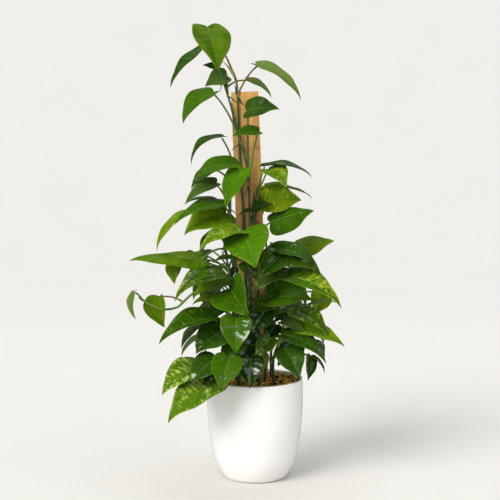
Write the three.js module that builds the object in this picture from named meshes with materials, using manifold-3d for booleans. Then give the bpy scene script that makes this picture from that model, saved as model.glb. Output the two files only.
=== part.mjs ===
import * as THREE from "three";
import { mergeVertices } from "three/addons/utils/BufferGeometryUtils.js";
import Module from "manifold-3d";

// A golden pothos that climbs a cedar board in a white ceramic pot.
// Millimetres, +Z up, origin at the middle of the pot's flat foot. -Y is the front, +X the right.

const wasm = await Module();
wasm.setup();

// Pot
const potHeight = 236;
const potRadius = 115;
const footRadius = 70;
const potWall = 5;
const potFloor = 8;
const cavityLevels = [potFloor, 35, 80, 150, 228];
const roundSides = 28;

// Filling
const soilTop = 212;
const dressingTop = 229;
const dressingRelief = 3;
const gap = 0.3;

// Board
const boardWidth = 64;
const boardThickness = 20;
const boardTop = 914;
const boardLean = THREE.MathUtils.degToRad(2.1);
const boardChamfer = 1.2;
const boardFootX = 9;
const boardRise = Math.sin(boardLean) * (boardWidth / 2);

// Plant
const stemRadius = 3;
const stalkRadius = 2;
const stalkInset = 0.05;
const bladeThickness = 0.9;
const sliver = 0.05;
const rootDepth = 165;
const holeClearance = 0.6;

// Each leaf: the height at which its stalk leaves the stem (or the share of a trailing stem, up to 1), the
// blade's base and tip, the way its upper face looks (degrees round from the front, degrees up), its
// breadth over its length, its arch and its fold.
function leaf(at, base, tip, face, broad = 0.65, arch = 0.1, fold = 14) {
  return { at, base, tip, face, broad, arch, fold };
}

// The stems whose leaves the front view shows, each with its route up from the soil.
const stems = {
  tall_centre: {
    route: [
      [-19, -15, 330], [-26, -15, 596], [-32, -15, 709], [-36, -15, 770], [-37, -15, 805],
      [-38, -15, 845], [-40, -15, 885], [-42, -15, 918], [-43, -13, 940],
    ],
    leaves: [
      leaf(935, [-111, -12, 1064], [-84, -68, 959], [23, 12], 0.76, 0.06, 8),
      leaf(905, [4, 10, 980], [110, -20, 898], [30, 55], 0.38, 0.1),
    ],
  },
  tall_left: {
    route: [
      [-7, -22, 330], [-12, -22, 596], [-15, -22, 700], [-21, -23, 750], [-34, -23, 800],
      [-46, -20, 840], [-57, -15, 884], [-66, -10, 913], [-75, -4, 944],
    ],
    leaves: [
      leaf(940, [-119, 0, 1017], [-199, -40, 925], [-50, 40], 0.44, 0.06),
      leaf(930, [-89, 16, 976], [-123, 0, 978], [-10, 10], 0.45, 0.03),
      leaf(905, [-66, 2, 952], [-117, -14, 928], [5, 30], 0.85, 0.06, 20),
      leaf(795, [-95, -45, 911], [-167, -80, 840], [-42, 45], 0.8, 0.1),
      leaf(922, [-21, 32, 946], [41, 28, 904], [35, 50], 0.44, 0.12),
      leaf(720, [-19, -50, 868], [55, -74, 872], [5, 32], 0.76, 0.1),
      leaf(700, [9, -42, 821], [-53, -72, 811], [0, 50], 0.6, 0.04),
    ],
  },
  mid_right: {
    route: [[9, -15, 330], [6, -15, 480], [2, -15, 568], [-1, -15, 626], [4, -15, 668]],
    leaves: [
      leaf(662, [19, -27, 741], [133, -55, 719], [50, 66], 0.44, 0.1),
      leaf(650, [30, -42, 734], [72, -92, 693], [20, 32], 0.82, 0.12),
      leaf(640, [31, -16, 694], [138, 18, 669], [60, 80], 0.5, 0.06),
      leaf(630, [19, -27, 662], [110, -12, 663], [10, 25], 0.82, 0.06),
      leaf(615, [-5, -40, 642], [42, -54, 653], [0, 35], 0.62, 0.08),
      leaf(600, [-2, -46, 638], [-39, -70, 628], [0, 66], 0.5, 0.06),
      leaf(570, [37, -50, 612], [136, -60, 641], [8, 35], 0.66, 0.04, -26),
    ],
  },
  mid_left: {
    route: [
      [-37, -34, 330], [-45, -36, 440], [-54, -36, 546], [-57, -34, 602], [-58, -30, 651],
      [-54, -26, 697], [-47, -22, 737],
    ],
    leaves: [
      leaf(735, [-76, -20, 809], [-151, -40, 747], [-60, 50], 0.6, 0.18),
      leaf(715, [-41, -62, 744], [-144, -95, 709], [-20, 42], 0.48, 0.16),
      leaf(700, [-91, -34, 734], [-149, -58, 690], [-35, 45], 0.6, 0.1),
      leaf(705, [-28, -86, 734], [-68, -112, 646], [-25, 20], 0.58, 0.08, 18),
      leaf(640, [-89, -45, 702], [-162, -70, 656], [-12, 35], 0.44, 0.12, 25),
      leaf(630, [-78, -18, 653], [-166, -36, 654], [-55, 75], 0.55, 0.12),
      leaf(620, [-68, -55, 652], [-185, -100, 612], [-35, 52], 0.46, 0.1),
      leaf(575, [-68, -28, 632], [-165, -60, 585], [-15, 32], 0.75, 0.14),
      leaf(468, [-46, -51, 505], [-55, -63, 475], [0, 15], 0.6, 0.06),
    ],
  },
  left_mid: {
    route: [[-46, -5, 330], [-56, -5, 420], [-64, -5, 500], [-70, -5, 546], [-74, -5, 586]],
    leaves: [
      leaf(580, [-141, -8, 634], [-232, -55, 547], [-60, 48], 0.48, 0.12),
      leaf(560, [-98, -25, 587], [-128, -45, 528], [-55, 20], 0.55, 0.08),
      leaf(545, [-118, -68, 525], [-288, -104, 532], [-8, 58], 0.36, 0.02, -6),
      leaf(500, [-185, -45, 521], [-188, -60, 468], [-25, 15], 0.78, 0.08),
      leaf(490, [-143, -25, 540], [-152, -42, 499], [-15, 25], 0.9, 0.08),
      leaf(470, [-109, 10, 513], [-161, 25, 462], [-100, 40], 0.6, 0.1),
    ],
  },
  centre: {
    route: [[-12, -40, 333], [-14, -44, 429], [-17, -46, 500], [-19, -44, 558]],
    leaves: [
      leaf(556, [-25, -95, 593], [0, -185, 519], [-20, 45], 0.9, 0.05, 6),
      leaf(545, [-32, -100, 594], [-127, -150, 555], [-20, 55], 0.52, 0.12),
      leaf(510, [-40, -72, 526], [-99, -92, 521], [-30, 70], 0.6, 0.1),
      leaf(440, [-71, -90, 492], [-183, -140, 442], [-35, 50], 0.6, 0.16),
      leaf(425, [-55, -96, 461], [-16, -166, 408], [-50, 35], 1, 0.06, 32),
      leaf(370, [26, -66, 410], [-8, -98, 358], [0, 22], 0.8, 0.08),
      leaf(400, [37, -60, 426], [-14, -85, 404], [0, 35], 0.7, 0.08),
      leaf(340, [30, -45, 392], [-10, -63, 362], [0, 25], 0.9, 0.08),
      leaf(470, [-23, -80, 521], [2, -100, 484], [0, 35], 0.9, 0.06),
    ],
  },
  right_mid: {
    route: [[25, -15, 330], [28, -15, 449], [29, -15, 515], [29, -15, 553]],
    leaves: [
      leaf(550, [26, -50, 547], [150, -110, 501], [20, 50], 0.74, 0.14, -6),
      leaf(540, [101, 20, 551], [189, 5, 566], [0, 35], 0.62, 0.03, -22),
      leaf(500, [64, -95, 539], [4, -137, 488], [10, 45], 0.66, 0.08),
      leaf(470, [60, -70, 506], [-3, -112, 456], [0, 50], 0.6, 0.1),
      leaf(455, [66, -85, 489], [195, -145, 428], [25, 50], 0.5, 0.13),
      leaf(410, [161, 14, 441], [143, -4, 389], [15, 15], 0.95, 0.05),
      leaf(370, [117, -10, 406], [196, -40, 423], [30, 75], 0.42, 0.08),
      leaf(420, [39, -65, 436], [130, -106, 438], [8, 38], 0.84, 0.08, 25),
      leaf(365, [68, -30, 418], [26, -62, 389], [0, 45], 0.75, 0.08),
      leaf(375, [91, -60, 405], [169, -100, 357], [20, 45], 0.6, 0.12),
      leaf(440, [65, -50, 465], [16, -75, 435], [0, 40], 0.7, 0.08),
      leaf(530, [39, -70, 550], [128, -120, 525], [10, 55], 0.5, 0.1),
      leaf(345, [84, 0, 404], [46, -22, 374], [0, 35], 0.8, 0.08),
    ],
  },
  runner: {
    route: [
      [-35, -60, 313], [-54, -62, 384], [-86, -60, 431], [-116, -58, 450], [-142, -58, 447],
      [-167, -58, 426], [-181, -58, 414], [-214, -60, 409], [-246, -62, 421], [-270, -64, 438],
    ],
    leaves: [
      leaf(0.97, [-278, -65, 450], [-276, -80, 387], [-60, 5], 0.62, 0.1, 20),
      leaf(0.64, [-223, -45, 438], [-213, -45, 363], [-30, 0], 0.82, 0.05, 38),
      leaf(440, [-63, -38, 474], [-143, -74, 441], [-25, 50], 0.75, 0.1),
      leaf(384, [-85, -82, 436], [-144, -110, 428], [-20, 68], 0.6, 0.08),
    ],
  },
  low_left: {
    route: [[-40, -66, 290], [-55, -70, 340]],
    leaves: [
      leaf(338, [-94, -95, 394], [-218, -155, 347], [-35, 48], 0.52, 0.1, 22),
      leaf(325, [-43, -145, 401], [-44, -180, 327], [0, 30], 0.86, 0.05, 22),
      leaf(310, [-62, -95, 368], [-136, -127, 318], [-22, 38], 1, 0.1),
      leaf(330, [-112, -55, 360], [-139, -72, 320], [-40, 30], 0.65, 0.06),
      leaf(335, [-72, -30, 420], [-113, -46, 375], [-20, 30], 0.7, 0.08),
      leaf(320, [-50, -84, 388], [-95, -108, 350], [-15, 35], 0.7, 0.08),
    ],
  },
  bottom_left: {
    route: [[-70, -62, 262], [-90, -80, 285]],
    leaves: [
      leaf(280, [-89, -125, 306], [-146, -165, 255], [-20, 45], 0.85, 0.08),
      leaf(283, [-129, -95, 282], [-213, -135, 225], [-35, 38], 0.78, 0.1),
      leaf(275, [-84, -128, 254], [-198, -172, 171], [-35, 42], 0.7, 0.08),
      leaf(262, [-57, -145, 312], [-78, -180, 243], [-5, 30], 0.88, 0.08),
      leaf(270, [-71, -100, 283], [-143, -135, 230], [-25, 40], 0.6, 0.08),
      leaf(272, [-34, -109, 338], [-82, -131, 302], [-20, 35], 0.8, 0.08),
    ],
  },
  low_centre: {
    route: [[10, -72, 270], [18, -74, 330]],
    leaves: [
      leaf(280, [-9, -110, 306], [-12, -142, 240], [0, 25], 0.85, 0.08),
      leaf(325, [37, -84, 346], [0, -112, 302], [10, 48], 0.7, 0.08),
      leaf(290, [24, -96, 309], [20, -107, 276], [10, 20], 0.55, 0.05),
      leaf(300, [14, -62, 344], [-26, -90, 300], [0, 25], 0.85, 0.08),
      leaf(285, [-16, -84, 330], [-40, -106, 274], [-5, 20], 0.66, 0.08),
      leaf(310, [50, -40, 371], [22, -56, 334], [10, 30], 0.8, 0.08),
    ],
  },
  low_right: {
    route: [[44, -40, 290], [62, -44, 345], [72, -42, 380]],
    leaves: [
      leaf(378, [96, -60, 368], [206, -105, 332], [20, 45], 0.44, 0.08),
      leaf(360, [62, -56, 380], [118, -90, 352], [10, 62], 0.6, 0.1),
      leaf(340, [60, -76, 352], [163, -125, 297], [25, 52], 0.5, 0.14),
      leaf(330, [132, 6, 317], [166, -20, 287], [30, 40], 0.95, 0.08),
      leaf(290, [69, -88, 321], [101, -125, 258], [10, 32], 0.85, 0.08),
      leaf(300, [132, -34, 295], [124, -52, 239], [30, 10], 0.55, 0.05),
      leaf(310, [128, -22, 293], [164, -60, 260], [60, 45], 0.38, 0.12),
      leaf(320, [100, 26, 318], [54, 4, 264], [10, 20], 0.8, 0.08),
    ],
  },
};

// The stems at the back, which the front view hides: their leaves are placed by a rule with seeded
// draws. Heights are in mm, headings in degrees round from the front.
const backStems = {
  back_left: { foot: [-46, 22], top: 490, heading: -137, spread: 20, leaves: 9, seed: 11 },
  back_centre: { foot: [-8, 22], top: 620, heading: 180, spread: 15, leaves: 10, seed: 23 },
  back_right: { foot: [42, 20], top: 500, heading: 142, spread: 20, leaves: 9, seed: 37 },
};
const backLeaf = {
  rise: [38, 62],
  reach: [62, 92],
  size: [88, 124],
  dip: [28, 58],
  sweep: [2, 16],
  broad: [0.56, 0.72],
  arch: [0.07, 0.15],
  lift: 45,
};
const topShrink = { reach: 22, size: 16 };
const lowestLeaf = 34;
const highestLeaf = 10;

// A small linear congruential generator, so that every build draws the same numbers.
function draws(seed) {
  let state = seed >>> 0;
  return (low, high) => {
    state = (Math.imul(state, 1664525) + 1013904223) >>> 0;
    return low + ((high - low) * state) / 4294967296;
  };
}

// A level direction, in degrees round from the front.
function heading(degrees) {
  const angle = THREE.MathUtils.degToRad(degrees);
  return new THREE.Vector3(Math.sin(angle), -Math.cos(angle), 0);
}

// A back stem climbs close to the board, and its leaves leave it left and right by turns.
function backStem({ foot, top, heading: main, spread, leaves: count, seed }) {
  const draw = draws(seed);
  const [x, y] = foot;
  const onStem = (z) => new THREE.Vector3(x - (z - potHeight) * Math.tan(boardLean), y, z);
  const route = [0.35, 0.6, 0.8, 1].map((share) => onStem(potHeight + (top - potHeight) * share).toArray());
  const leaves = [];
  for (let i = 0; i < count; i += 1) {
    const share = i / (count - 1);
    const at = THREE.MathUtils.lerp(potHeight + lowestLeaf, top - highestLeaf, share);
    const side = i % 2 === 0 ? 1 : -1;
    const turn = main + side * draw(0.4, 1) * spread;
    const reach = draw(...backLeaf.reach) - topShrink.reach * share;
    const size = draw(...backLeaf.size) - topShrink.size * share;
    const dip = THREE.MathUtils.degToRad(draw(...backLeaf.dip));
    const base = onStem(at).addScaledVector(heading(turn), reach);
    base.z += draw(...backLeaf.rise);
    const swept = heading(turn + side * draw(...backLeaf.sweep));
    const tip = base.clone().addScaledVector(swept, size * Math.cos(dip));
    tip.z -= size * Math.sin(dip);
    const [broad, arch] = [draw(...backLeaf.broad), draw(...backLeaf.arch)];
    leaves.push(leaf(at, base.toArray(), tip.toArray(), [turn, backLeaf.lift], broad, arch));
  }
  return { route, leaves };
}

// Solids: three.js makes each closed shape, and manifold-3d joins or cuts them.
function solidOf(geometry) {
  const bare = geometry.clone();
  bare.deleteAttribute("normal");
  bare.deleteAttribute("uv");
  const merged = mergeVertices(bare, 1e-4);
  return new wasm.Manifold(
    new wasm.Mesh({
      numProp: 3,
      vertProperties: new Float32Array(merged.attributes.position.array),
      triVerts: new Uint32Array(merged.index.array),
    }),
  );
}

function geometryOf(solid) {
  const { vertProperties, triVerts } = solid.getMesh();
  const geometry = new THREE.BufferGeometry();
  geometry.setAttribute("position", new THREE.BufferAttribute(vertProperties, 3));
  geometry.setIndex(new THREE.BufferAttribute(triVerts, 1));
  geometry.computeVertexNormals();
  return geometry;
}

const join = (solids) => solids.reduce((whole, next) => whole.add(next));

function outlineOf(points) {
  return new THREE.Shape(points.map(([x, y]) => new THREE.Vector2(x, y)));
}

// A round bar along a curve, with few sides.
function bar(curve, radius, sides, steps) {
  const corners = Array.from({ length: sides }, (_, i) => {
    const angle = (i / sides) * 2 * Math.PI;
    return [radius * Math.cos(angle), radius * Math.sin(angle)];
  });
  const options = { steps, bevelEnabled: false, extrudePath: curve };
  return solidOf(new THREE.ExtrudeGeometry(outlineOf(corners), options));
}

// A turned body: the profile runs from the axis round to the axis again.
function turned(profile) {
  const geometry = new THREE.LatheGeometry(profile.map(([r, z]) => new THREE.Vector2(r, z)), roundSides);
  return solidOf(geometry.rotateX(Math.PI / 2));
}

// The blade's outline, by a share from 0 at the stalk to 1 at the tip: how far along the leaf, and how
// far out from the midrib, both in leaf lengths. A heart with a drawn-out tip.
const outlineShares = [0.13, 0.34, 0.56, 0.8];
const lobe = 0.45;

function edgeAlong(share) {
  return share ** 1.6 - lobe * Math.sin(Math.PI * share) * (1 - share) ** 3;
}

function edgeOut(share, broad) {
  return (broad / 2) * (share * (1 - share) ** 1.1) / 0.2338;
}

function ribAlong(share) {
  return Math.max(0, (share - 0.25) / 0.75) ** 1.5;
}

// The leaf's own axes: along from base to tip, up through the upper face, and across.
function axesOf({ base, tip, face }) {
  const root = new THREE.Vector3(...base);
  const along = new THREE.Vector3(...tip).sub(root);
  const length = along.length();
  along.normalize();
  const rise = THREE.MathUtils.degToRad(face[1]);
  const up = heading(face[0]).multiplyScalar(Math.cos(rise)).add(new THREE.Vector3(0, 0, Math.sin(rise)));
  up.addScaledVector(along, -up.dot(along)).normalize();
  return { root, along, length, up, across: up.clone().cross(along) };
}

// The blade arches from base to tip and folds up along its midrib.
function bladePoint(one, axes, along, out, lift) {
  const folded = Math.tan(THREE.MathUtils.degToRad(one.fold)) * Math.abs(out);
  const height = 4 * one.arch * along * (1 - along) + folded;
  return axes.root
    .clone()
    .addScaledVector(axes.along, along * axes.length)
    .addScaledVector(axes.across, out * axes.length)
    .addScaledVector(axes.up, height * axes.length + lift);
}

// A thin closed blade. Its rib and both edges are rows of points, joined alike on both faces.
function blade(one) {
  const axes = axesOf(one);
  const flat = [[0, 0]];
  outlineShares.slice(2).forEach((share) => flat.push([ribAlong(share), 0]));
  flat.push([1, 0]);
  const ribs = flat.map((_, i) => i);
  const sides = [-1, 1].map((side) =>
    outlineShares.map((share) => flat.push([edgeAlong(share), side * edgeOut(share, one.broad)]) - 1),
  );
  const [base, rib1, rib2, tip] = ribs;
  const faces = [];
  sides.forEach(([e1, e2, e3, e4], i) => {
    const half = [
      [base, e1, e2], [base, e2, rib1], [rib1, e2, e3],
      [rib1, e3, rib2], [rib2, e3, e4], [rib2, e4, tip],
    ];
    half.forEach(([a, b, c]) => faces.push(i === 0 ? [a, b, c] : [a, c, b]));
  });
  const rim = [base, ...sides[0], tip, ...sides[1].slice().reverse()];
  const count = flat.length;
  const points = [bladeThickness / 2, -bladeThickness / 2].flatMap((lift) =>
    flat.flatMap(([along, out]) => bladePoint(one, axes, along, out, lift).toArray()),
  );
  const index = faces.flatMap(([a, b, c]) => [a, b, c, a + count, c + count, b + count]);
  rim.forEach((a, i) => {
    const b = rim[(i + 1) % rim.length];
    index.push(a, a + count, b, b, a + count, b + count);
  });
  const geometry = new THREE.BufferGeometry();
  geometry.setAttribute("position", new THREE.Float32BufferAttribute(points, 3));
  geometry.setIndex(index);
  return solidOf(geometry);
}

// The share of a rising curve at which it reaches a height.
function shareAt(curve, axis, height) {
  let [low, high] = [0, 1];
  for (let i = 0; i < 24; i += 1) {
    const middle = (low + high) / 2;
    if (curve.getPoint(middle)[axis] < height) low = middle;
    else high = middle;
  }
  return low;
}

// A leaf stalk leaves the stem upwards and meets the blade from below.
function stalkCurve(stem, one) {
  const start = stem.getPoint(one.at > 1 ? shareAt(stem, "z", one.at) : one.at);
  const end = bladePoint(one, axesOf(one), stalkInset, 0, 0);
  const span = start.distanceTo(end);
  const bend = start.clone().lerp(end, 0.45);
  bend.z += 0.22 * span;
  return new THREE.QuadraticBezierCurve3(start, bend, end);
}

function stemCurve(route) {
  const [x, y] = route[0];
  const foot = [[x, y, rootDepth], [x, y, potHeight + 6]];
  const points = [...foot, ...route].map((p) => new THREE.Vector3(...p));
  return new THREE.CatmullRomCurve3(points, false, "centripetal");
}

function leafyStem({ route, leaves }) {
  const stem = stemCurve(route);
  const parts = [bar(stem, stemRadius, 5, route.length + 2)];
  leaves.forEach((one) => parts.push(bar(stalkCurve(stem, one), stalkRadius, 3, 2), blade(one)));
  return join(parts).simplify(sliver);
}

// The pot's outside, from its foot to its rim: a curved lower wall that turns upright.
const wallCurve = new THREE.SplineCurve(
  [
    [footRadius, 0], [80, 6], [96, 38], [104, 70], [110.5, 111], [114.5, 165],
    [potRadius, 200], [potRadius - 1, potHeight],
  ].map(([r, z]) => new THREE.Vector2(r, z)),
);

function outerRadius(z) {
  return wallCurve.getPoint(shareAt(wallCurve, "y", z)).x;
}

// The cavity is straight between its levels.
function cavityRadius(z) {
  const i = cavityLevels.findIndex((level) => level >= z);
  const [low, high] = [cavityLevels[Math.max(0, i - 1)], cavityLevels[i]];
  const share = high > low ? (z - low) / (high - low) : 0;
  return THREE.MathUtils.lerp(outerRadius(low), outerRadius(high), share) - potWall;
}

function potSolid() {
  const outside = wallCurve.getPoints(7).map((p) => [p.x, p.y]);
  const inside = cavityLevels.map((z) => [outerRadius(z) - potWall, z]).reverse();
  const rim = [[potRadius - 2.5, potHeight + 0.8], [potRadius - 4.5, potHeight]];
  return turned([[0, 0], ...outside, ...rim, ...inside, [0, potFloor]]);
}

const everyStem = { ...stems };
Object.entries(backStems).forEach(([name, plan]) => {
  everyStem[name] = backStem(plan);
});

// What stands in the filling is cut out of it: a plain round hole for each stem and a slot for the board.
function stemHole({ route }) {
  const [x, y] = route[0];
  const radius = stemRadius + holeClearance;
  const hole = new THREE.CylinderGeometry(radius, radius, potHeight, 8);
  hole.rotateX(Math.PI / 2).translate(x, y, rootDepth - gap + potHeight / 2);
  return solidOf(hole);
}

// The board stands on the pot's floor and leans to the left about its foot. Its slot in the filling is
// wider by the gap all round and open at the bottom.
function boardSolid(grow, below) {
  const height = boardTop - potFloor + below;
  const [w, t, c] = [boardWidth / 2 + grow, boardThickness / 2 + grow, boardChamfer];
  const outline = outlineOf([
    [-w + c, -t], [w - c, -t], [w, -t + c], [w, t - c], [w - c, t], [-w + c, t], [-w, t - c], [-w, -t + c],
  ]);
  const board = new THREE.ExtrudeGeometry(outline, { depth: height, bevelEnabled: false });
  board.translate(0, 0, -below).rotateY(-boardLean).translate(boardFootX, 0, potFloor + gap + boardRise);
  return solidOf(board);
}

const cuts = join([boardSolid(gap, potFloor), ...Object.values(everyStem).map(stemHole)]);

function soilSolid() {
  const low = potFloor + gap;
  const levels = [low, ...cavityLevels.filter((z) => z > low && z < soilTop), soilTop];
  const edge = levels.map((z) => [cavityRadius(z) - gap, z]);
  return turned([[0, low], ...edge, [0, soilTop]]).subtract(cuts);
}

// The bark lies in a lumpy layer, raised from a flat disc by a sum of waves.
function dressingSolid() {
  const low = soilTop + gap;
  const outer = cavityRadius(low) - gap;
  const rings = [0, 0.35, 0.6, 0.82, 1];
  const top = rings.map((share) => [outer * share, dressingTop]).reverse();
  const geometry = new THREE.LatheGeometry(
    [[0, low], [outer, low], ...top].map(([r, z]) => new THREE.Vector2(r, z)),
    roundSides,
  ).rotateX(Math.PI / 2);
  const place = geometry.attributes.position;
  for (let i = 0; i < place.count; i += 1) {
    const [x, y, z] = [place.getX(i), place.getY(i), place.getZ(i)];
    if (z > low + 1) place.setZ(i, z + dressingRelief * Math.sin(x / 7) * Math.cos(y / 9 + x / 23));
  }
  return solidOf(geometry).subtract(cuts);
}

const materials = {
  ceramic: new THREE.MeshStandardMaterial({ color: 0xf4f3f0, roughness: 0.25, metalness: 0 }),
  soil: new THREE.MeshStandardMaterial({ color: 0x3a2a1c, roughness: 0.95, metalness: 0 }),
  bark: new THREE.MeshStandardMaterial({ color: 0x8a5f24, roughness: 0.9, metalness: 0 }),
  cedar: new THREE.MeshStandardMaterial({ color: 0xcd914b, roughness: 0.75, metalness: 0 }),
  leaf: new THREE.MeshStandardMaterial({ color: 0x2f6b12, roughness: 0.35, metalness: 0 }),
};

function piece(name, solid, material) {
  const mesh = new THREE.Mesh(geometryOf(solid), material);
  mesh.name = name;
  return mesh;
}

const plant = new THREE.Group();
plant.add(piece("pot", potSolid(), materials.ceramic));
plant.add(piece("soil", soilSolid(), materials.soil));
plant.add(piece("bark_dressing", dressingSolid(), materials.bark));
plant.add(piece("cedar_board", boardSolid(0, 0), materials.cedar));
Object.entries(everyStem).forEach(([name, plan]) => {
  plant.add(piece(`stem_${name}`, leafyStem(plan), materials.leaf));
});

export default plant;
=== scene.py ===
import random
from collections import namedtuple
from functools import partial, partialmethod
from math import cos, exp, pi, radians, sin, sqrt, tan

import bmesh
import bpy
from mathutils import Matrix, Vector, noise


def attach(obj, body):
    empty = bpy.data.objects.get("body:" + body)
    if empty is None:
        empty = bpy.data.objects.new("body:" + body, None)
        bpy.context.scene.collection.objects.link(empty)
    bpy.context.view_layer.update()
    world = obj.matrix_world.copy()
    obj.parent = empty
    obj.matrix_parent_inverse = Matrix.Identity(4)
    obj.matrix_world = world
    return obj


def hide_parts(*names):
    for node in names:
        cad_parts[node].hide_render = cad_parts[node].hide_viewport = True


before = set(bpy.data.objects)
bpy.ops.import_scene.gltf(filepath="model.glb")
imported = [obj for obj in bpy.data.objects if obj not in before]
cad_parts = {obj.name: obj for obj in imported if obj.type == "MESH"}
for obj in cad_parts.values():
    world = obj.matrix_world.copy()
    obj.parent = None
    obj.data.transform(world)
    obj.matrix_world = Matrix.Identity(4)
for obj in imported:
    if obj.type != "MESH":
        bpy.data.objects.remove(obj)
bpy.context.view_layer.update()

# The stage: a pale floor, a pale backdrop all round and four soft lamps. The camera stands 2.45 m in
# front of the plant, somewhat above its middle, and looks slightly down.

CAMERA_DIP = radians(4.25)
STAGE_SIDES = 64
FLOOR_RADIUS = 4.2
COVE_RADIUS = 1.6
BACKDROP_HEIGHT = 6
FADE_FROM = 1.2
FADE_TO = 3.8
BLACK = (0, 0, 0)


def new_object(name, data):
    made = bpy.data.objects.new(name, data)
    bpy.context.collection.objects.link(made)
    return made


camera_data = bpy.data.cameras.new("camera")
camera_data.lens = 74.5
camera = new_object("camera", camera_data)
camera.location = (-0.0118, -2.45, 0.725)
camera.rotation_euler = (pi / 2 - CAMERA_DIP, 0, 0)
scene = bpy.context.scene
scene.camera = camera
scene.view_settings.view_transform = "Standard"


def soft_sun(name, toward, power, spread, colour):
    """An even soft light from a direction, wide across the sky."""
    data = bpy.data.lights.new(name, "SUN")
    data.energy = power
    data.angle = radians(spread)
    data.color = colour
    new_object(name, data).rotation_euler = Vector(toward).to_track_quat("Z", "Y").to_euler()


soft_sun("key", (-0.56, -0.6, 0.57), 2.85, 36, (1, 0.985, 0.95))
soft_sun("fill_right", (0.8, -0.55, 0.2), 1.25, 90, (1, 0.99, 0.97))
soft_sun("fill_left", (-0.85, -0.45, 0.12), 0.85, 90, (1, 0.99, 0.97))
soft_sun("top", (0.05, 0.28, 0.95), 1.4, 60, (0.9, 0.95, 1))


class Field:
    """An output in a node tree, so that a formula with it reads as one with a number."""

    def __init__(self, socket):
        self.socket = socket
        self.tree = socket.id_data

    def op(self, operation, *others):
        inputs = dict(enumerate((self, *others)))
        return add_node(self.tree, "ShaderNodeMath", inputs, operation=operation)

    __add__ = partialmethod(op, "ADD")
    __sub__ = partialmethod(op, "SUBTRACT")
    __mul__ = partialmethod(op, "MULTIPLY")
    __pow__ = partialmethod(op, "POWER")
    __abs__ = partialmethod(op, "ABSOLUTE")

    def __rsub__(self, other):
        return self * -1 + other

    def band(self, low, high, start=0, end=1):
        """Runs smoothly from start to end as the number goes from low to high."""
        inputs = {0: self, 1: low, 2: high, 3: start, 4: end}
        return add_node(self.tree, "ShaderNodeMapRange", inputs, interpolation_type="SMOOTHSTEP")

    def blend(self, first, second):
        """The colour that runs from first to second as the number goes from 0 to 1."""
        return add_node(self.tree, "ShaderNodeMix", {0: self, 6: first, 7: second}, 2, data_type="RGBA")

    def also(self, output):
        """Another output of the same node."""
        return Field(self.socket.node.outputs[output])

    def parts(self):
        x = add_node(self.tree, "ShaderNodeSeparateXYZ", {0: self})
        return x, x.also(1), x.also(2)


def set_inputs(node, inputs):
    """Links each input, by name or number, or gives it a plain value."""
    for name, value in inputs.items():
        socket = node.inputs[name]
        if isinstance(value, Field):
            node.id_data.links.new(value.socket, socket)
        else:
            socket.default_value = (*value, 1) if socket.type == "RGBA" else value


def add_node(tree, kind, inputs, output=0, **settings):
    """Adds a node with its settings and inputs, and gives one of its outputs."""
    made = tree.nodes.new(kind)
    for name, value in settings.items():
        setattr(made, name, value)
    set_inputs(made, inputs)
    return Field(made.outputs[output])


def new_group(kind, name, inputs, outputs):
    """A node group with named sockets. Gives it, what adds a node to it, its inputs and its end."""
    group = bpy.data.node_groups.new(name, kind)
    for in_out, sockets in (("INPUT", inputs), ("OUTPUT", outputs)):
        for label, sort in sockets.items():
            group.interface.new_socket(name=label, in_out=in_out, socket_type="NodeSocket" + sort)
    given = {s.name: Field(s) for s in group.nodes.new("NodeGroupInput").outputs if s.name}
    return group, partial(add_node, group), given, group.nodes.new("NodeGroupOutput")


# The unevenness of nearly every finish here: clouds, crumbs or blotches of a given size.
NOISE_ROUGHNESS = 0.55
unevenness, add, given, end = new_group("ShaderNodeTree", "unevenness", {
    "Vector": "Vector", "Scale": "Float", "Detail": "Float"}, {"Amount": "Float"})
set_inputs(end, {"Amount": add("ShaderNodeTexNoise", {**given, "Roughness": NOISE_ROUGHNESS}, "Fac")})


def uneven(place, scale, detail=3):
    inputs = {"Vector": place, "Scale": scale, "Detail": detail}
    return add_node(place.tree, "ShaderNodeGroup", inputs, node_tree=unevenness)


def new_material(name):
    """A material, its shader and its own coordinates."""
    material = bpy.data.materials.new(name)
    material.use_nodes = True
    tree = material.node_tree
    return material, tree.nodes["Principled BSDF"], add_node(tree, "ShaderNodeTexCoord", {}, "Object")


def shares(count):
    """Even steps from 0 to 1."""
    return [i / count for i in range(count + 1)]


def skin(shape, rows, outward=True):
    """Faces from each row of points to the next. Where two corners are one point, a face has three."""
    for low, high in zip(rows, rows[1:]):
        for corners in zip(low, low[1:], high[1:], high):
            corners = list(dict.fromkeys(corners))
            if len(corners) > 2:
                shape.faces.new(corners if outward else corners[::-1])


def plain_mesh(name, shape):
    mesh = bpy.data.meshes.new(name)
    shape.to_mesh(mesh)
    shape.free()
    return mesh


def turned_mesh(name, profile, sides):
    """A turned body from its profile, (radius, height). It closes where the profile meets the axis."""
    shape = bmesh.new()
    turn = 2 * pi / sides
    rings = []
    for radius, height in profile:
        ring = [
            shape.verts.new((radius * cos(i * turn), radius * sin(i * turn), height))
            for i in range(sides if radius else 1)
        ]
        rings.append(ring + ring[:1] if radius else ring * (sides + 1))
    skin(shape, rings)
    bmesh.ops.recalc_face_normals(shape, faces=shape.faces)
    return plain_mesh(name, shape)


def new_piece(name, mesh, *materials):
    """A smooth object for a mesh that is already in its place."""
    for material in materials:
        mesh.materials.append(material)
    mesh.shade_smooth()
    return new_object(name, mesh)


world = bpy.data.worlds.new("surround")
world.use_nodes = True
set_inputs(world.node_tree.nodes["Background"], {"Color": (0.95, 0.965, 1), "Strength": 0.25})
scene.world = world

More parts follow.
